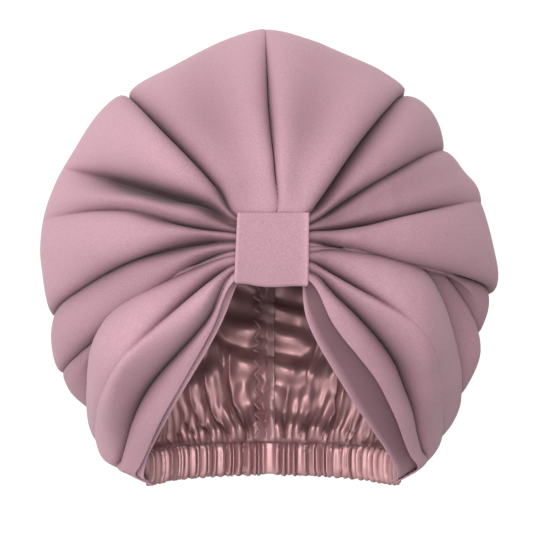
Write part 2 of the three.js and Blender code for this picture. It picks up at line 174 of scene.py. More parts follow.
# Front edges of the facings, (x, z, y), inside the crown's edges. The right one stands clear.
FACING_EDGES = dict(
    left=((-15, 3, -92), (-28, -27, -91), (-55, -74, -55), (-73, -110, -8), (-74, -118, -1), (-70, -122, 7)),
    right=((20, 3, -92), (23, -20, -91), (46, -62, -66), (75, -106, -15), (79, -117, -3), (76, -121, 7)),
)
FACING = dict(tuck=0.15, depth=0.7, start=1.2, end=6.4, rows=130, columns=14, clear=0.85)

# Painted shade of a facing at its top and bottom, as the right one lies in its panel's shadow. It fades past
# the share clear of the facing's width.
FACING_SHADE = dict(left=(0.4, 0.1), right=(1.0, 0.2))

# The lining's depth under the creases, by the band, at the front and at the back, and its mesh.
# It closes on the casing from the row sewn, stays at least so deep under the creases, and gets painted shade
# that grows between two levels, darkest at the top of the hollow.
LINING_DEPTH = dict(band=14, front=26, back=12)
LINING = dict(start=1.35, full=1.9, front_rows=30, back_rows=100, columns=120, fine_rows=180,
              fine_columns=250, short=0.45, seam_half_gap=0.2, sewn=6.45, least=2.4, drop=2,
              rumple=0.8, rumple_length=24, dark_from=-42, dark_to=6, darkest=0.85)

# Tucks across the lining's back seam, where the cloth is larger than its place by the share extra
RUCHE = dict(pitch=17, phase=4, round=0.8, depth=3, reach=32, rows=(4.5, 5.2), low=-98, high=-45,
             extra=0.42, wander=8, wander_length=50, wander_from=30, slant=0.2, uneven=4,
             uneven_length=15, mean=0.8, vary=0.5, vary_length=45)

# The lining's coarse and fine gathers above the elastic, and what they share, with the painted shade in their
# valleys and just above the elastic's seam
LINING_GATHERS = (
    dict(count=10, depth=8.5, peak=13, uneven=0.5, wander=1.8, wander_length=70, round=0.8,
         mean=0.8, vary=0.6, vary_length=40),
    dict(count=27, depth=3.5, peak=6, uneven=0, wander=1.5, wander_length=40, round=1,
         mean=0.9, vary=0.4, vary_length=30),
)
LINING_HEM = dict(rows=(4.2, 5.2), level=0.5, valley=(0.85, 0.1), shade=0.8, seam_shade=2.5, soften=2)

# Unevenness along a hem: the hem's length for it, and its wavelength
HEM_WANDER = dict(length=40, wavelength=9)

# The cloth simulation of the lining's back, and the most that a point may move out and in
BUCKLE = dict(scale=10, frames=40, quality=6, mass=0.15, stiffness=18, shear=6, bending=0.02,
              outward=4, inward=11, levels=14, least=0.05, from_hem=40, most=0.6)

# The seam allowance down the lining's back, with a stitch line near its straight edge and painted shade in
# the pinches by its left edge
SEAM_TAPE = dict(left=-9, right=5, scallop=4.5, pitch=9, wander=0.25, wander_length=30, start=4.5,
                 wall=0.7, lift=1.0, pinch=2.6, pinch_reach=0.35, curl=0.8, window=10, shade=0.15,
                 shade_reach=(0.3, 0.05), rows=200, columns=24, stitch=0.85)

# The elastic casing round the nape, its tips and its ribs. length is half the casing's length for
# its unevenness, and the flat patch without ribs is where its ends meet.
CASING = dict(inset=2.7, half_wall=1.3, end=0.98, square=3, columns=1000, ring=48, length=100)
CASING_TIP = dict(spread=3.5, spread_between=(0.7, 0.95), taper=5, taper_between=(0.86, 0.98), plain=0.8)
# The ribs carry painted shade between them, set by shade and shade_steep
CASING_RIBS = dict(count=51, height=2.6, round=0.7, scallop=1.3, crest=0.8, low_top=0.3, shade=0.8,
                   shade_steep=1.3, wander=1.5, wander_length=15, vary=0.6, vary_length=7,
                   least=0.25, most=1.7, lean=0.5, lean_length=30)
FLAT_PATCH = dict(x=2, half_width=4, behind=50)

# Stitches, and where the ones on the crown run: along the centre seam's end, and beside the
# left border crease by its share of the lobe
STITCH = dict(length=2, pitch=3, radius=0.3, sides=6, profile=(0.2, 0.85, 1, 0.85, 0.2))
SEAM_STITCHES = (1.05, 1.7)
BORDER_STITCHES = dict(rows=(3.3, 4.2), share=0.2)

# Mesh steps across a lobe, and along a ray in each span between two knots
LOBE_STEPS = 22
SPAN_STEPS = (4, 26, 34, 34, 24, 16, 30)
RIM_STEPS = 4
SEAM_HALF_GAP = 0.12

# The crown's slow and short unevenness, and the rows where it sets in
CROWN_DRIFT = dict(height=1.0, wavelength=55)
CROWN_RUMPLE = dict(height=0.25, wavelength=18)
CROWN_LOOSE = (1.2, 2.2)

# Gathers of the crown above the elastic, fading between two shares of the way from the seam
CROWN_GATHER = dict(count=22, depth=4, peak=11, uneven=0.4, level=0.15, wander=1.5, wander_length=60,
                    between=(0.8, 0.65))

# Noise of the satin's colour and bump
GRAIN = dict(scale=1100.0, detail=2.0, bump_scale=1500.0, bump_detail=3.0, bump_height=0.0002)
SHEEN_ROUGHNESS = 0.4

rng = np.random.default_rng(7)


def smooth(start, end, value):
    t = np.clip((value - start) / (end - start), 0, 1)
    return t * t * (3 - 2 * t)


def mix(a, b, share):
    return a + (b - a) * share


def length(v):
    return np.linalg.norm(v, axis=-1, keepdims=True)


def unit(v):
    return v / np.maximum(length(v), 1e-9)


def waves(points, wavelength, count=7):
    """A smooth wandering value from about -1 to 1 at points, from a few fixed plane waves."""
    directions = unit(rng.normal(size=(count, points.shape[-1])))
    lengths = wavelength * rng.uniform(0.7, 1.4, count)
    phases = rng.uniform(0, 2 * math.pi, count)
    angle = points @ (directions * (2 * math.pi / lengths[:, None])).T + phases
    return np.sin(angle).sum(-1) * (1.4 / count)


# The crown's surface

def dome_height(z):
    return np.where(z > DOME["z"], DOME["rise"], DOME["drop"])


def dome_depth(x, z):
    """Depth of the dome's front at a point of the front view."""
    reach = (x / DOME["width"]) ** 2 + ((z - DOME["z"]) / dome_height(z)) ** 2
    below = max(0, DOME["z"] - z) / LOWER_SLOPE["reach"]
    front = DOME["y"] - DOME["depth"] * math.sqrt(max(0, 1 - reach))
    dimple = BAND_DIMPLE["depth"] * math.exp(-reach / BAND_DIMPLE["spread"])
    return front + LOWER_SLOPE["depth"] * below ** 2 + dimple


def dome_normal(points):
    x, y, z = np.moveaxis(np.asarray(points, float), -1, 0)
    height = dome_height(z)
    parts = (x / DOME["width"] ** 2, (y - DOME["y"]) / DOME["depth"] ** 2, (z - DOME["z"]) / height ** 2)
    return unit(np.stack(parts, -1))


def hem_point(side, share, inset, z):
    """A point of the hem, by its share from centre back to the tip and its distance inside."""
    turn = share * math.pi / 2
    inside = inset + TIP["tuck"] * smooth(TIP["start"], 1, share) ** 2
    half_width = np.where(side < 0, HEM["left"], HEM["right"]) - inside
    depth = HEM["back_y"] - HEM["tip_y"] - inside
    x = side * half_width * np.sin(turn)
    return np.stack(np.broadcast_arrays(x, HEM["tip_y"] + depth * np.cos(turn), z), -1)


def panel_end(side, share):
    z, close = TIP["left"] if side < 0 else TIP["right"]
    drop = mix(HEM["seam_z"], z, smooth(TIP["start"], TIP["lowest"], share))
    inset = close * smooth(TIP["turn"], 1, share) - TIP["flare"] * smooth(TIP["start"], TIP["full"], share)
    return hem_point(side, share, inset, drop)


def lining_end(side, share):
    return hem_point(side, share, 0, HEM["seam_z"] + LINING_WALL)


def on_dome(place, sink):
    x, z = place[:2]
    point = np.array((x, place[2] if len(place) > 2 else dome_depth(x, z), z), float)
    return point - dome_normal(point) * sink


def span(p0, p1, p2, p3, t):
    """The stretch from p1 to p2 of a centripetal Catmull-Rom curve through four points."""
    d0, d1, d2 = (np.sqrt(np.maximum(length(b - a), 1e-6)) for a, b in ((p0, p1), (p1, p2), (p2, p3)))
    go = ((p1 - p0) / d0 - (p2 - p0) / (d0 + d1) + (p2 - p1) / d1) * d1
    come = ((p2 - p1) / d1 - (p3 - p1) / (d1 + d2) + (p3 - p2) / d2) * d1
    turn = p1 - p2
    return p1 + go * t + (-3 * turn - 2 * go - come) * t ** 2 + (2 * turn + go + come) * t ** 3


def spline(knots, places):
    """A curve through knots, or through whole rows of points, at places counted in knots."""
    knots = np.asarray(knots, float)
    padded = np.concatenate([2 * knots[:1] - knots[1:2], knots, 2 * knots[-1:] - knots[-2:-1]])
    i = np.clip(np.floor(places).astype(int), 0, len(knots) - 2)
    share = (places - i).reshape(-1, *[1] * (knots.ndim - 1))
    return span(*(padded[i + k] for k in range(4)), share)


def redraw(grid, count):
    """A grid with another number of rows, on smooth curves along its columns."""
    return spline(grid, np.linspace(0, len(grid) - 1, count))


def crease_curve(side, crease, down, end, rows):
    """A crease's points at rows: neck under the band, band edge, front, outline, back and hem."""
    neck_z = mix(BAND["top"] - NECK["margin"], NECK["margin"], down)
    neck = (BAND["x"] + side * NECK["half_gap"], NECK["y"], neck_z)
    leave = (crease["leave"][0], NECK["y"], crease["leave"][1])
    near, far, rim = (on_dome(crease[k], s) for k, s in zip(("near", "far", "rim"), crease.get("sink", FLAT)))
    reach = np.linalg.norm(rim - end) * BACK_PULL["reach"]
    bulge = BACK_PULL["outwards"] + TIP["bulge"] * smooth(TIP["start"], TIP["full"], crease["tail"])
    outwards = unit(np.array((end[0], end[1] - HEM["tip_y"], 0))) * bulge
    ahead = unit(mix(np.array((0, 1, 0)), unit(rim - far), smooth(*BACK_PULL["straight"], crease["tail"])))
    controls = (rim, rim + ahead * reach, end + reach * (outwards + (0, 0, BACK_PULL["up"])), end)
    weights = [((1 - t) ** 3, 3 * t * (1 - t) ** 2, 3 * t ** 2 * (1 - t), t ** 3) for t in (1 / 3, 2 / 3)]
    backs = [sum(w * c for w, c in zip(row, controls)) for row in weights]
    return spline([neck, leave, near, far, rim, *backs, end], rows)


def along_hem(share):
    """An uneven value along a hem, by the share of its length."""
    return waves(HEM_WANDER["length"] * share[:, None], HEM_WANDER["wavelength"])


def swell(height, peak):
    """Rises from 0 to 1 at a peak and fades out slowly above it."""
    return np.maximum(height, 0) / peak * np.exp(1 - np.maximum(height, 0) / peak)


def crease_curves(side, creases, end_of, rows):
    last = len(creases) - 1
    return [crease_curve(side, c, i / last, end_of(side, c["tail"]), rows) for i, c in enumerate(creases)]


def along_ray(values, rows):
    """Values given at near, far and rim, at every row."""
    near, far, rim = values
    before = mix(near, far, smooth(NEAR_KNOT, FAR_KNOT, rows))
    after = mix(far, rim, smooth(FAR_KNOT, RIM_KNOT, rows))
    return np.where(rows < FAR_KNOT, before, after)


def neighbours(curves, lobe):
    """The four creases round a lobe. Past the centre seam comes the other panel's, mirrored."""
    start, end = curves[lobe], curves[lobe + 1]
    before = curves[lobe - 1] if lobe else np.stack([2 * start[:, 0] - end[:, 0], end[:, 1], end[:, 2]], -1)
    after = curves[lobe + 2] if lobe + 2 < len(curves) else 2 * end - start
    return [points[:, None] for points in (before, start, end, after)]


def lobe_grid(curves, creases, lobe, shares, rows):
    """Points of a lobe by row and by share of the way from its crease to the next one, and their painted
    shade.
    """
    row = rows[:, None]
    behind = 1 - smooth(RIM_KNOT, LAST_KNOT - 1, row)
    squeeze = mix(BAND_SQUEEZE, 1, smooth(BAND_KNOT, NEAR_KNOT, row)) * behind

    def value(index, key):
        return along_ray(creases[index].get(key, SLOT["depths"] if key == "slot" else FLAT), row)

    before, start, end, after = neighbours(curves, lobe)
    width = length(end - start)[..., 0]
    points = span(before, start, end, after, shares[None, :, None])
    arch = np.sin(math.pi * shares) ** LOBE_ROUND
    valley = value(lobe, "dip") * squeeze * np.exp(-(((shares - DIP["at"]) / DIP["spread"]) ** 2))
    height = width * value(lobe, "puff") * squeeze * arch - valley
    slopes = ((lobe, "after", shares, 1), (lobe + 1, "before", 1 - shares, -1))
    # Painted shade: darker down the dip and, below, down each crease by its depth
    shade = valley / DIP["shade"]
    recess = creases[lobe].get("recess", False)
    sunk = 0
    for crease, key, away, turn in slopes:
        run = value(crease, key) + SLOPE_LEAST
        if not recess:
            run = np.minimum(run, width * SLOPE_SHARE)
        steps = np.maximum(away * width - value(crease, "open"), 0) / run
        depth = value(crease, "depth") * behind
        slope = depth * np.exp(-steps)
        sunk = np.maximum(sunk, slope) if recess else sunk + slope
        slot = np.minimum(value(crease, "slot"), depth) * np.exp(-away * width / SLOT["run"])
        height = height - slot * squeeze
        # Painted shade darkening the cloth towards the crease
        reach = np.minimum(run * FOLD_SHADE["share"] + FOLD_SHADE["run"], width * SLOPE_SHARE)
        shade = shade + depth / FOLD_SHADE["depth"] * np.exp(-steps * run / reach)
        lap = np.maximum(turn * value(crease, "lap"), 0) * squeeze * steps * np.exp(1 - steps)
        points = points - turn * unit(end - start) * lap[..., None]
    height = height - sunk * squeeze
    if lobe == 0:
        height = height - SEAM_GROOVE["depth"] * (1 - behind) * np.exp(-shares * width / SEAM_GROOVE["run"])
    return points + dome_normal(points) * height[..., None], np.clip(shade, 0, 1)


def span_rows(steps):
    rows = [span + i / n for span, n in enumerate(steps) for i in range(n)]
    return np.array(rows + [len(steps)], float)


def panel_grid(side, creases, rows):
    """A panel's outer surface: rows of points from the centre seam to the opening, and their painted shade.
    """
    curves = crease_curves(side, creases, panel_end, rows)
    shares = (1 - np.cos(np.arange(LOBE_STEPS + 1) / LOBE_STEPS * math.pi)) / 2
    steps = [shares[:-1]] * (len(creases) - 2) + [shares]
    lobes = [lobe_grid(curves, creases, i, own, rows) for i, own in enumerate(steps)]
    return np.concatenate([lobe[0] for lobe in lobes], 1), np.concatenate([lobe[1] for lobe in lobes], 1)


def grid_normals(grid, side):
    along = np.gradient(grid, axis=0)
    across = np.gradient(grid, axis=1)
    return unit(np.cross(across, along)) * side


# Meshes

def shell(grid, side, wall):
    """A closed wall of even thickness inside a grid, with its first and last columns rounded."""
    normals = grid_normals(grid, side)
    inner = grid - normals * wall
    middle = (grid + inner) / 2
    angles = [math.pi * (k + 1) / (RIM_STEPS + 1) for k in range(RIM_STEPS)]

    def edge(column, beside):
        out = unit(grid[:, column] - grid[:, beside])
        turn = normals[:, column]
        return [middle[:, column] + wall / 2 * (math.cos(a) * turn + math.sin(a) * out) for a in angles]

    columns = [grid[:, j] for j in range(grid.shape[1])]
    columns += edge(-1, -2)
    columns += [inner[:, j] for j in reversed(range(grid.shape[1]))]
    columns += edge(0, 1)[::-1]
    return np.stack(columns, 1)


def mesh_object(name, points, faces, material):
    mesh = bpy.data.meshes.new(name)
    mesh.from_pydata((np.asarray(points) * MM).tolist(), [], np.asarray(faces).tolist())
    mesh.update()
    mesh.polygons.foreach_set("use_smooth", np.ones(len(mesh.polygons), bool))
    mesh.materials.append(material)
    obj = bpy.data.objects.new(name, mesh)
    bpy.context.collection.objects.link(obj)
    return obj


def tube_object(name, rings, material):
    """A closed mesh through rings of points, with flat ends."""
    rows, columns = rings.shape[:2]
    index = np.arange(rows * columns).reshape(rows, columns)
    right = np.roll(index, -1, axis=1)
    faces = np.stack([index[:-1], index[1:], right[1:], right[:-1]], -1).reshape(-1, 4)
    caps = []
    for row, turn in ((0, 1), (rows - 1, -1)):
        ring = np.roll(index[row], RIM_STEPS // 2)
        pairs = zip(ring, ring[1:], ring[::-1][1:], ring[::-1])
        caps += [quad[::turn] for quad in list(pairs)[:columns // 2 - 1]]
    faces = np.concatenate([faces, np.array(caps)])
    points = rings.reshape(-1, 3)
    a, b, c, d = (points[faces[:, k]] for k in range(4))
    volume = (np.cross(b - a, c - a) * a + np.cross(c - a, d - a) * a).sum()
    return mesh_object(name, points, faces if volume > 0 else faces[:, ::-1], material)


def paint_shade(obj, rings, shade):
    """Keeps a grid's painted shade on both faces of its shell."""
    columns = shade.shape[1]
    values = np.zeros(rings.shape[:2], np.float32)
    values[:, :columns] = shade
    values[:, columns + RIM_STEPS:2 * columns + RIM_STEPS] = shade[:, ::-1]
    obj.data.attributes.new("painted_shade", "FLOAT", "POINT").data.foreach_set("value", values.ravel())


def add_stitches(obj, line, out):
    """Sews a row of short raised stitches into a piece, along a line of points."""
    run = np.concatenate([[0], np.cumsum(length(np.diff(line, axis=0))[:, 0])])
    along = np.linspace(0, STITCH["length"], len(STITCH["profile"]))
    thickness = STITCH["radius"] * np.array(STITCH["profile"])
    turns = np.linspace(0, 2 * math.pi, STITCH["sides"], endpoint=False)
    mesh = bmesh.new()
    mesh.from_mesh(obj.data)
    for start in np.arange(0, run[-1] - STITCH["length"], STITCH["pitch"]):
        at = start + along
        middle, up = (np.stack([np.interp(at, run, v[:, k]) for k in range(3)], -1) for v in (line, out))
        beside = unit(np.cross(np.gradient(middle, axis=0), up))
        rings = []
        for p, u, b, r in zip(middle, up, beside, thickness):
            rings.append([mesh.verts.new((p + r * (math.cos(t) * u + math.sin(t) * b)) * MM) for t in turns])
        for a, b in zip(rings, rings[1:]):
            for k in range(STITCH["sides"]):
                mesh.faces.new((a[k - 1], a[k], b[k], b[k - 1])).smooth = True
        mesh.faces.new(rings[0])
        mesh.faces.new(rings[-1][::-1])
    mesh.to_mesh(obj.data)
    mesh.free()


def place_piece(obj, node):
    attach(obj, "root")
    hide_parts(node)
    return obj


# Materials

def add_node(nodes, kind, **values):
    node = nodes.new(kind)
    for key, value in values.items():
        if key in node.inputs:
            node.inputs[key].default_value = value
        else:
            setattr(node, key, value)
    return node


def satin(name, dark, light, roughness, sheen, grain, gloss):
    """Satin with a fine grain: colour drifts between two close tones, with a bump to match, and painted shade
    from the mesh mixed in towards a dark colour.
    """
    material = bpy.data.materials.new(name)
    material.use_nodes = True
    nodes, links = material.node_tree.nodes, material.node_tree.links
    shader = nodes["Principled BSDF"]
    place = add_node(nodes, "ShaderNodeTexCoord").outputs["Object"]
    drift = add_node(nodes, "ShaderNodeTexNoise", Scale=GRAIN["scale"], Detail=GRAIN["detail"])
    tone = add_node(nodes, "ShaderNodeMix", data_type="RGBA")
    tone.inputs["A"].default_value = (*dark, 1)
    tone.inputs["B"].default_value = (*light, 1)
    links.new(place, drift.inputs["Vector"])
    links.new(drift.outputs["Fac"], tone.inputs["Factor"])
    # Painted shade: the mesh's shade values take the colour towards the dark crease colour
    shade = add_node(nodes, "ShaderNodeAttribute", attribute_name="painted_shade")
    dim = add_node(nodes, "ShaderNodeMath", operation="MULTIPLY")
    dim.inputs[1].default_value = FOLD_SHADE["strength"]
    links.new(shade.outputs["Fac"], dim.inputs[0])
    shaded = add_node(nodes, "ShaderNodeMix", data_type="RGBA")
    shaded.inputs["B"].default_value = (*FOLD_SHADE["colour"], 1)
    links.new(dim.outputs["Value"], shaded.inputs["Factor"])
    links.new(tone.outputs["Result"], shaded.inputs["A"])
    links.new(shaded.outputs["Result"], shader.inputs["Base Color"])
    weave = add_node(nodes, "ShaderNodeTexNoise", Scale=GRAIN["bump_scale"], Detail=GRAIN["bump_detail"])
    links.new(place, weave.inputs["Vector"])
    bump = add_node(nodes, "ShaderNodeBump", Strength=grain, Distance=GRAIN["bump_height"])
    links.new(weave.outputs["Fac"], bump.inputs["Height"])
    links.new(bump.outputs["Normal"], shader.inputs["Normal"])
    shader.inputs["Roughness"].default_value = roughness
    shader.inputs["Metallic"].default_value = gloss
    shader.inputs["Sheen Weight"].default_value = sheen
    shader.inputs["Sheen Roughness"].default_value = SHEEN_ROUGHNESS
    return material


outer_satin = satin("outer_satin", dark=(0.34, 0.184, 0.223), light=(0.573, 0.33, 0.398),
                    roughness=0.75, sheen=0.1, grain=0.3, gloss=0)
lining_satin = satin("lining_satin", dark=(0.494, 0.266, 0.2755), light=(0.57, 0.3135, 0.323),
                     roughness=0.4, sheen=0.0, grain=0.15, gloss=0.55)
tape_satin = satin("tape_satin", dark=(0.44, 0.25, 0.26), light=(0.5, 0.29, 0.3),
                   roughness=0.45, sheen=0.0, grain=0.15, gloss=0.45)

# Pieces

ROWS = span_rows(SPAN_STEPS)


def crown_gathers(grid, from_seam):
    """How far a panel stands out by its gathers above the elastic."""
    steps = length(np.diff(grid, axis=0))[..., 0]
    from_hem = np.concatenate([np.cumsum(steps[::-1], axis=0)[::-1], np.zeros((1, grid.shape[1]))])
    wander = CROWN_GATHER["wander"] * waves(grid, CROWN_GATHER["wander_length"])
    phase = math.pi * CROWN_GATHER["count"] * from_seam + wander
    ridge = np.abs(np.sin(phase)) - CROWN_GATHER["level"]
    reach = 1 + CROWN_GATHER["uneven"] * along_hem(from_seam)
    gathers = CROWN_GATHER["depth"] * ridge * swell(from_hem, CROWN_GATHER["peak"] * reach)
    behind = smooth(RIM_KNOT, RIM_KNOT + 1, ROWS)[:, None]
    return gathers * behind * smooth(*CROWN_GATHER["between"], from_seam)


def crown(name):
    side, creases = SIDES[name]
    grid, shade = panel_grid(side, creases, ROWS)
    loose = smooth(*CROWN_LOOSE, ROWS)[:, None]
    drift = CROWN_DRIFT["height"] * waves(grid, CROWN_DRIFT["wavelength"])
    drift = drift + CROWN_RUMPLE["height"] * waves(grid, CROWN_RUMPLE["wavelength"])
    from_seam = np.arange(grid.shape[1]) / (grid.shape[1] - 1)
    gathers = crown_gathers(grid, from_seam)
    grid = grid + dome_normal(grid) * (drift * loose + gathers)[..., None]
    grid[..., 0] += side * SEAM_HALF_GAP * (1 - from_seam)
    rings = shell(grid, side, CROWN_WALL)
    obj = tube_object("crown_" + name + "_cloth", rings, outer_satin)
    # The painted shade of the creases and dips goes on both faces of the cloth
    paint_shade(obj, rings, shade)
    if name == "left":
        out = grid_normals(grid, side)
        turned = math.acos(1 - 2 * BORDER_STITCHES["share"]) / math.pi
        border = grid.shape[1] - 1 - round(LOBE_STEPS * (1 - turned))
        for column, (first, last) in ((0, SEAM_STITCHES), (border, BORDER_STITCHES["rows"])):
            picked = (ROWS >= first) & (ROWS <= last)
            add_stitches(obj, grid[picked, column], out[picked, column])
    return place_piece(obj, "crown_" + name)


def facing(name):
    """A strip from just under the crown's border crease to its own front edge."""
    side, creases = SIDES[name]
    rows = np.linspace(FACING["start"], FACING["end"], FACING["rows"])
    curves = crease_curves(side, creases, panel_end, rows)
    under = lobe_grid(curves, creases, len(creases) - 2, np.array([FACING["tuck"]]), rows)[0]
    under = under - dome_normal(under) * (FACING["depth"] + CROWN_WALL)
    edge = np.array([(x, y, z) for x, z, y in FACING_EDGES[name]], float)
    free = spline(edge, np.linspace(0, len(edge) - 1, len(rows)))[:, None]
    across = np.linspace(0, 1, FACING["columns"])[None, :, None]
    grid = mix(under, free, across)
    rings = shell(grid, side, FACING_WALL)
    obj = tube_object("facing_" + name + "_cloth", rings, outer_satin)
    # Painted shade from top to bottom, fading out across the facing
    top, bottom = FACING_SHADE[name]
    shade = mix(top, bottom, np.linspace(0, 1, len(rows)))[:, None]
    shade = shade * smooth(1, FACING["clear"], across[0, :, 0])
    paint_shade(obj, rings, np.broadcast_to(shade, grid.shape[:2]))
    return place_piece(obj, "facing_" + name)


def band_path():
    """The band's (y, z) line from its front top, round under the neck, to its back top."""
    corner, front = BAND["wall"], BAND["front"]
    back = front + 2 * BAND["wall"] + BAND["inside"]
    level = corner - BAND["wall"]
    turn = np.linspace(0, math.pi / 2, BAND_STEPS["corner"])[1:]
    path = [(front, z) for z in np.linspace(BAND["top"], level, BAND_STEPS["front"])]
    path += [(front + corner * (1 - math.cos(a)), level - corner * math.sin(a)) for a in turn]
    path += [(y, -BAND["wall"]) for y in np.linspace(front + corner, back - corner, BAND_STEPS["under"])[1:]]
    path += [(back - corner * (1 - math.sin(a)), level - corner * math.cos(a)) for a in turn]
    path += [(back, z) for z in np.linspace(level, BAND["back_top"], BAND_STEPS["back"])[1:]]
    return np.array(path)


def front_band():
    """A folded strip in front of, under and behind the gathered neck."""
    wall, front = BAND["wall"], BAND["front"]
    back = front + 2 * wall + BAND["inside"]
    path = band_path()
    share = np.linspace(0, 1, BAND_STEPS["across"])
    grid = np.zeros((len(path), len(share), 3))
    rise = np.clip(path[:, 1:] / BAND["top"], 0, 1)
    left = mix(BAND["x"] - BAND["width"] / 2, BAND["top_left"], rise) + wall / 2
    right = mix(BAND["x"] + BAND["width"] / 2, BAND["top_right"], rise) - wall / 2
    grid[..., 0] = mix(left, right, share)
    ahead = smooth(back - wall, front, path[:, :1])
    fold = np.exp(-np.minimum(share, 1 - share) * BAND["width"] / BAND["fold_run"])
    twist = BAND_SWAY["twist"] * np.sin(rise * BAND_SWAY["up"] + share * BAND_SWAY["across"])
    sway = BAND_SWAY["depth"] * (waves(grid[..., :1], BAND_SWAY["wavelength"]) + twist)
    bow = BAND["bow"] * (2 * rise - 1) ** 2
    grid[..., 1] = path[:, :1] + ahead * (bow + sway + BAND["fold"] * (1 - fold))
    low = 1 - smooth(0, BAND_EDGE["rise"], rise)
    lift = BAND_EDGE["lift"] * smooth(BAND_EDGE["lift_reach"], 0, share)
    grid[..., 2] = path[:, 1:] + low * (lift + BAND_EDGE["ripple"] * np.sin(share * BAND_EDGE["ripples"]))
    rings = shell(grid, -1, wall)
    obj = tube_object("front_band_cloth", rings, outer_satin)
    # Painted shade over the band's face, lighter at its rounded side folds where they catch the light
    shade = BAND["shade"] * (1 - BAND["fold_clear"] * fold) * np.ones_like(rise)
    paint_shade(obj, rings, np.broadcast_to(shade, grid.shape[:2]))
    return place_piece(obj, "front_band")


def lining_rows():
    front = np.linspace(LINING["start"], RIM_KNOT, LINING["front_rows"], endpoint=False)
    return np.concatenate([front, np.linspace(RIM_KNOT, LAST_KNOT, LINING["back_rows"])])


def buckle(points, outward, extra, held):
    """Points of a cloth grid after it buckles, being larger than its place by the share extra."""
    rows, columns = points.shape[:2]
    size = MM * BUCKLE["scale"]
    index = np.arange(rows * columns).reshape(rows, columns)
    faces = np.stack([index[:-1, :-1], index[1:, :-1], index[1:, 1:], index[:-1, 1:]], -1).reshape(-1, 4)
    mesh = bpy.data.meshes.new("buckle")
    mesh.from_pydata((points.reshape(-1, 3) * size).tolist(), [], faces.tolist())
    obj = bpy.data.objects.new("buckle", mesh)
    bpy.context.collection.objects.link(obj)
    obj.vertex_groups.new(name="held").add(index[held].tolist(), 1, "REPLACE")
    fitted = obj.vertex_groups.new(name="fitted")
    levels = np.round((1 - extra / extra.max()) * BUCKLE["levels"]).astype(int)
    for level in range(1, BUCKLE["levels"] + 1):
        fitted.add(index[levels == level].tolist(), level / BUCKLE["levels"], "REPLACE")
    cloth = obj.modifiers.new("cloth", "CLOTH")
    settings = cloth.settings
    settings.quality = BUCKLE["quality"]
    settings.mass = BUCKLE["mass"]
    settings.tension_stiffness = settings.compression_stiffness = BUCKLE["stiffness"]
    settings.shear_stiffness = BUCKLE["shear"]
    settings.bending_model = "LINEAR"
    settings.bending_stiffness = BUCKLE["bending"]
    settings.vertex_group_mass = "held"
    settings.vertex_group_shrink = "fitted"
    settings.shrink_min = -extra.max()
    settings.effector_weights.gravity = 0
    cloth.collision_settings.use_collision = False
    cloth.point_cache.frame_end = BUCKLE["frames"]
    for frame_number in range(1, BUCKLE["frames"] + 1):
        bpy.context.scene.frame_set(frame_number)
    moved = obj.evaluated_get(bpy.context.evaluated_depsgraph_get()).data
    out = np.zeros(rows * columns * 3)
    moved.vertices.foreach_get("co", out)
    bpy.data.objects.remove(obj)
    bpy.context.scene.frame_set(1)
    step = out.reshape(rows, columns, 3) / size - points
    lift = (step * outward).sum(-1, keepdims=True)
    capped = np.where(lift > 0, BUCKLE["outward"] * np.tanh(lift / BUCKLE["outward"]),
                      BUCKLE["inward"] * np.tanh(lift / BUCKLE["inward"]))
    return points + step + outward * (capped - lift)


def soften(points, passes):
    """Takes the small kinks out of a grid, by moving each inner point half way to its neighbours."""
    points = points.copy()
    for _ in range(passes):
        beside = points[:-2, 1:-1] + points[2:, 1:-1] + points[1:-1, :-2] + points[1:-1, 2:]
        points[1:-1, 1:-1] = mix(points[1:-1, 1:-1], beside / 4, 0.5)
    return points


def ruche(points, side, row):
    """How near the cloth is to the back seam, from 0 to 1, and how deep its tucks are there."""
    from_seam = np.abs(points[..., 0])
    near = np.exp(-from_seam / RUCHE["reach"]) * smooth(*RUCHE["rows"], row)
    near = near * smooth(RUCHE["low"], RUCHE["high"], points[..., 2])
    wander = RUCHE["wander"] * side * waves(points, RUCHE["wander_length"])
    wander = wander * smooth(0, RUCHE["wander_from"], from_seam)
    bent = points[..., 2] + wander + RUCHE["slant"] * side * from_seam
    bent = bent + RUCHE["uneven"] * np.sin(points[..., 2] / RUCHE["uneven_length"])
    tucks = 1 - np.abs(np.sin(math.pi * bent / RUCHE["pitch"] + RUCHE["phase"])) ** RUCHE["round"]
    size = RUCHE["mean"] + RUCHE["vary"] * waves(points, RUCHE["vary_length"])
    return near, RUCHE["depth"] * tucks * near * size


def hem_gathers(points, across, uneven, row):
    """How far the cloth stands in by its gathers above the elastic, and the painted shade in their valleys
    and just above the seam.
    """
    from_hem = points[..., 2] - HEM["seam_z"]
    gathers, valleys = 0, 0
    for kind in LINING_GATHERS:
        peak = kind["peak"] * (1 + kind["uneven"] * uneven)
        fade = swell(from_hem, peak) * smooth(*LINING_HEM["rows"], row)
        wander = waves(points, kind["wander_length"]) * kind["wander"]
        crest = np.abs(np.sin(math.pi * kind["count"] * across + wander))
        valleys = np.maximum(valleys, smooth(*LINING_HEM["valley"], crest) * fade)
        ridge = crest ** kind["round"] - LINING_HEM["level"]
        size = kind["mean"] + kind["vary"] * waves(points, kind["vary_length"])
        gathers = gathers + ridge * size * kind["depth"] * fade
    # Painted shade just above the elastic's seam
    seam = np.exp(-from_hem / LINING_HEM["seam_shade"]) * (row > RIM_KNOT)
    return gathers, LINING_HEM["shade"] * np.maximum(valleys, seam)


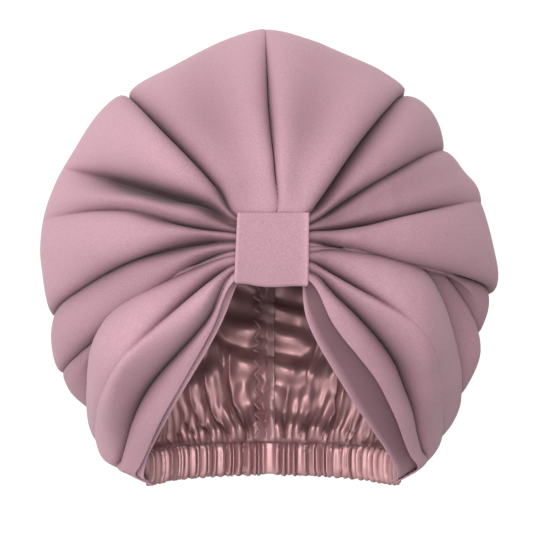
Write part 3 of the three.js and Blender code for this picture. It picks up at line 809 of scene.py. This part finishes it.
def lining_grid(side, creases):
    """The lining's outer points from the centre seam to the border crease, and their painted shade."""
    rows = lining_rows()
    row = rows[:, None]
    curves = np.stack(crease_curves(side, creases, lining_end, rows), 1)
    places = np.linspace(0, curves.shape[1] - 1 - LINING["short"], LINING["columns"])
    left = np.clip(np.floor(places).astype(int), 0, curves.shape[1] - 2)
    under = mix(curves[:, left], curves[:, left + 1], (places - left)[:, None])
    across = places / places[-1]
    depth = mix(LINING_DEPTH["band"], LINING_DEPTH["front"], smooth(LINING["start"], LINING["full"], row))
    depth = mix(depth, LINING_DEPTH["back"], smooth(RIM_KNOT - 1, LAST_KNOT - 1, row))
    uneven = along_hem(across)
    near_seam, tucks = ruche(under, side, row)
    gathers, valleys = hem_gathers(under, across, uneven, row)
    rumple = LINING["rumple"] * waves(under, LINING["rumple_length"]) * smooth(*RUCHE["rows"], row)
    depth = depth + tucks + rumple
    depth = mix(CASING["inset"], depth, 1 - smooth(LINING["sewn"], LAST_KNOT, row))
    points = under - dome_normal(under) * depth[..., None]
    points[..., 0] += side * LINING["seam_half_gap"] * (1 - across)
    points[-1, :, 2] = HEM["seam_z"] - LINING["drop"]
    outward = dome_normal(points)
    loose = rows >= RIM_KNOT
    held = np.zeros((loose.sum(), len(places)), bool)
    held[:2] = held[-1:] = held[:, :1] = held[:, -3:] = True
    from_hem = under[loose][..., 2] - HEM["seam_z"]
    extra = BUCKLE["least"] * smooth(0, BUCKLE["from_hem"], from_hem) + RUCHE["extra"] * near_seam[loose]
    points[loose] = buckle(points[loose], outward[loose], np.clip(extra, 0, BUCKLE["most"]), held)
    points = soften(points - outward * gathers[..., None], LINING_HEM["soften"])
    deep = ((under - points) * outward).sum(-1, keepdims=True)
    return points - outward * np.maximum(LINING["least"] - deep, 0), valleys


def seam_tape(grids):
    """The flat seam allowance over the lining's back seam, pinched along its left edge."""
    rows = lining_rows()
    whole = np.concatenate([grids["left"][:, :0:-1], grids["right"]], 1)[rows >= SEAM_TAPE["start"]]
    whole = redraw(whole, SEAM_TAPE["rows"])
    middle = whole[:, grids["left"].shape[1] - 1]
    run = np.concatenate([[0], np.cumsum(length(np.diff(middle, axis=0))[:, 0])])
    turn = run / SEAM_TAPE["pitch"] + SEAM_TAPE["wander"] * waves(run[:, None], SEAM_TAPE["wander_length"])
    teeth = np.abs(2 * (turn - np.floor(turn)) - 1)[:, None]
    share = np.linspace(0, 1, SEAM_TAPE["columns"])
    x = mix(SEAM_TAPE["left"] + SEAM_TAPE["scallop"] * teeth, SEAM_TAPE["right"], share)
    y, z = (np.stack([np.interp(at, line[:, 0], line[:, k]) for at, line in zip(x, whole)]) for k in (1, 2))
    window = SEAM_TAPE["window"]
    even = np.pad(y, ((window, window), (0, 0)), mode="edge")
    even = np.mean([even[k:k + len(y)] for k in range(2 * window + 1)], 0)
    grid = np.stack([x, np.minimum(y, even), z], -1)
    pinch = SEAM_TAPE["pinch"] * (1 - teeth) + SEAM_TAPE["curl"]
    pinch = pinch * smooth(SEAM_TAPE["pinch_reach"], 0, share)
    lift = LINING_WALL + SEAM_TAPE["lift"] + SEAM_TAPE["wall"] + pinch
    grid = grid - dome_normal(grid) * lift[..., None]
    rings = shell(grid, 1, SEAM_TAPE["wall"])
    obj = tube_object("back_seam_tape_cloth", rings, tape_satin)
    # Painted shade in the pinches by the left edge, and darker towards the top as on the lining
    fold = SEAM_TAPE["shade"] * teeth * smooth(*SEAM_TAPE["shade_reach"], share)
    dark = LINING["darkest"] * smooth(LINING["dark_from"], LINING["dark_to"], grid[..., 2])
    paint_shade(obj, rings, np.maximum(fold, dark))
    column = round((len(share) - 1) * SEAM_TAPE["stitch"])
    add_stitches(obj, grid[:, column], -dome_normal(grid[:, column]))
    return place_piece(obj, "back_seam_tape")


def lining(name, grid, valleys):
    side = SIDES[name][0]
    shaded = redraw(np.concatenate([grid, valleys[..., None]], -1), LINING["fine_rows"])
    shaded = redraw(shaded.swapaxes(0, 1), LINING["fine_columns"]).swapaxes(0, 1)
    grid, valleys = shaded[..., :3], shaded[..., 3]
    rings = shell(grid, side, LINING_WALL)
    obj = tube_object("lining_" + name + "_cloth", rings, lining_satin)
    # Painted shade, darker towards the top of the hollow and in the gathers' valleys
    dark = LINING["darkest"] * smooth(LINING["dark_from"], LINING["dark_to"], grid[..., 2])
    paint_shade(obj, rings, np.maximum(dark, valleys))
    return place_piece(obj, "lining_" + name)


def elastic_hem():
    """The ribbed casing from tip to tip round the nape."""
    share = np.linspace(-CASING["end"], CASING["end"], CASING["columns"])
    away = np.abs(share)
    side = np.where(share < 0, -1, 1)
    along = share[:, None] * CASING["length"]
    line = hem_point(side, away, 0, 0)
    patch = np.exp(-((line[:, 0] - FLAT_PATCH["x"]) / FLAT_PATCH["half_width"]) ** 4)
    flat = 1 - patch * (line[:, 1] > FLAT_PATCH["behind"])
    ribs = CASING_RIBS
    turn = math.pi * ribs["count"] * (share + CASING["end"]) / (2 * CASING["end"])
    turn = turn + ribs["wander"] * waves(along, ribs["wander_length"])
    size = 1 + ribs["vary"] * waves(along, ribs["vary_length"])
    size = np.clip(size, ribs["least"], ribs["most"]) * flat
    half_height = HEM["height"] / 2
    spread = CASING["inset"] - CASING_TIP["spread"] * smooth(*CASING_TIP["spread_between"], away)
    taper = CASING_TIP["taper"] * smooth(*CASING_TIP["taper_between"], away)
    rings, shades = [], []
    for angle in np.linspace(0, 2 * math.pi, CASING["ring"], endpoint=False):
        out, up = math.cos(angle), math.sin(angle)
        flatness = (abs(out) ** CASING["square"] + abs(up) ** CASING["square"]) ** (-1 / CASING["square"])
        lean = ribs["lean"] * up * flatness * waves(along, ribs["lean_length"])
        crest = np.abs(np.sin(turn + lean))
        rib = crest ** ribs["round"] * size
        middle = 1 - ribs["low_top"] * max(0, up) ** 4
        shown = middle if out > 0 else middle * (1 - smooth(TIP["start"], CASING_TIP["plain"], away))
        inset = spread + out * flatness * (CASING["half_wall"] + ribs["height"] * rib * shown)
        z = HEM["seam_z"] - half_height + half_height * up * flatness
        z = z - ribs["scallop"] * rib * max(0, -up) ** 3 + ribs["crest"] * rib * max(0, up) ** 3
        rings.append(hem_point(side, away, inset, z + taper * max(0, -up)))
        # Painted shade between the ribs, darker where a rib's crest is low
        shades.append(ribs["shade"] * np.clip(1 - ribs["shade_steep"] * crest, 0, 1) * flat)
    rings = np.stack(rings, 1)
    obj = tube_object("elastic_hem_cloth", rings, lining_satin)
    values = np.stack(shades, 1).astype(np.float32)
    obj.data.attributes.new("painted_shade", "FLOAT", "POINT").data.foreach_set("value", values.ravel())
    return place_piece(obj, "elastic_hem")


lining_grids = {name: lining_grid(*SIDES[name]) for name in SIDES}
for side_name in SIDES:
    crown(side_name)
    facing(side_name)
    lining(side_name, *lining_grids[side_name])
seam_tape({name: grid for name, (grid, _) in lining_grids.items()})
front_band()
elastic_hem()

# Camera, floor and light

# Light from all round, brighter from the upper left than from the lower right
AMBIENT = dict(strength=0.8, lean=0.7, towards=(-0.58, -0.2, 0.79))

# Area lights: place, target, size and power
LIGHTS = dict(
    key=((-1.8, -1.2, 0.8), (0, 0, 0), 1.0, 8),
    fill=((-0.05, -1.6, 0.16), (0, 0, -0.05), 0.5, 8.5),
    bounce=((-0.1, -0.9, -0.42), (0, 0, -0.05), 0.7, 1.8),
)
FLOOR = dict(z=-0.45, half=6, back=2.2, cove=1.2, steps=16)


def front_camera():
    data = bpy.data.cameras.new("camera")
    data.sensor_width = CAMERA["sensor"]
    data.lens = CAMERA["sensor"] * CAMERA["distance"] / (CAMERA["picture_px"] * CAMERA["mm_per_px"])
    camera = bpy.data.objects.new("camera", data)
    camera.location = Vector((0, -CAMERA["distance"], CAMERA["height"])) * MM
    camera.rotation_euler = (math.pi / 2, 0, 0)
    bpy.context.collection.objects.link(camera)
    bpy.context.scene.camera = camera


def studio_world():
    """Soft light by direction, and plain white where the camera sees past the floor."""
    world = bpy.data.worlds.new("studio")
    world.use_nodes = True
    nodes, links = world.node_tree.nodes, world.node_tree.links
    background = nodes["Background"]
    background.inputs["Color"].default_value = (1, 1, 1, 1)
    direction = add_node(nodes, "ShaderNodeVectorMath", operation="DOT_PRODUCT")
    direction.inputs[1].default_value = AMBIENT["towards"]
    links.new(add_node(nodes, "ShaderNodeTexCoord").outputs["Generated"], direction.inputs[0])
    lean = add_node(nodes, "ShaderNodeMapRange")
    lean.inputs["From Min"].default_value = -1
    lean.inputs["To Min"].default_value = AMBIENT["strength"] * (1 - AMBIENT["lean"])
    lean.inputs["To Max"].default_value = AMBIENT["strength"] * (1 + AMBIENT["lean"])
    links.new(direction.outputs["Value"], lean.inputs["Value"])
    seen = add_node(nodes, "ShaderNodeLightPath")
    strength = add_node(nodes, "ShaderNodeMix")
    strength.inputs["B"].default_value = 1
    links.new(seen.outputs["Is Camera Ray"], strength.inputs["Factor"])
    links.new(lean.outputs["Result"], strength.inputs["A"])
    links.new(strength.outputs["Result"], background.inputs["Strength"])
    bpy.context.scene.world = world


def studio_floor():
    """A pale floor that turns up into a backdrop."""
    cove, back, low = FLOOR["cove"], FLOOR["back"], FLOOR["z"]
    turn = np.linspace(0, math.pi / 2, FLOOR["steps"])
    line = [(-FLOOR["half"], low)]
    line += [(back + cove * math.sin(a), low + cove * (1 - math.cos(a))) for a in turn]
    line += [(back + cove, low + FLOOR["half"])]
    points = [(x, y, z) for y, z in line for x in (-FLOOR["half"], FLOOR["half"])]
    faces = [(2 * i, 2 * i + 1, 2 * i + 3, 2 * i + 2) for i in range(len(line) - 1)]
    material = bpy.data.materials.new("pale_floor")
    material.use_nodes = True
    shader = material.node_tree.nodes["Principled BSDF"]
    shader.inputs["Base Color"].default_value = (0.02, 0.02, 0.02, 1)
    shader.inputs["Roughness"].default_value = 1.0
    shader.inputs["Emission Color"].default_value = (1, 1, 1, 1)
    shader.inputs["Emission Strength"].default_value = 1.0
    floor = mesh_object("floor", np.array(points) / MM, faces, material)
    floor.visible_diffuse = floor.visible_glossy = floor.visible_shadow = False


def area_light(name, place, target, size, power):
    data = bpy.data.lights.new(name, "AREA")
    data.size = size
    data.energy = power
    light = bpy.data.objects.new(name, data)
    light.location = place
    light.rotation_euler = (Vector(target) - Vector(place)).to_track_quat("-Z", "Y").to_euler()
    bpy.context.collection.objects.link(light)


front_camera()
studio_world()
studio_floor()
for light_name, light_values in LIGHTS.items():
    area_light(light_name, *light_values)
bpy.context.scene.view_settings.view_transform = "Standard"
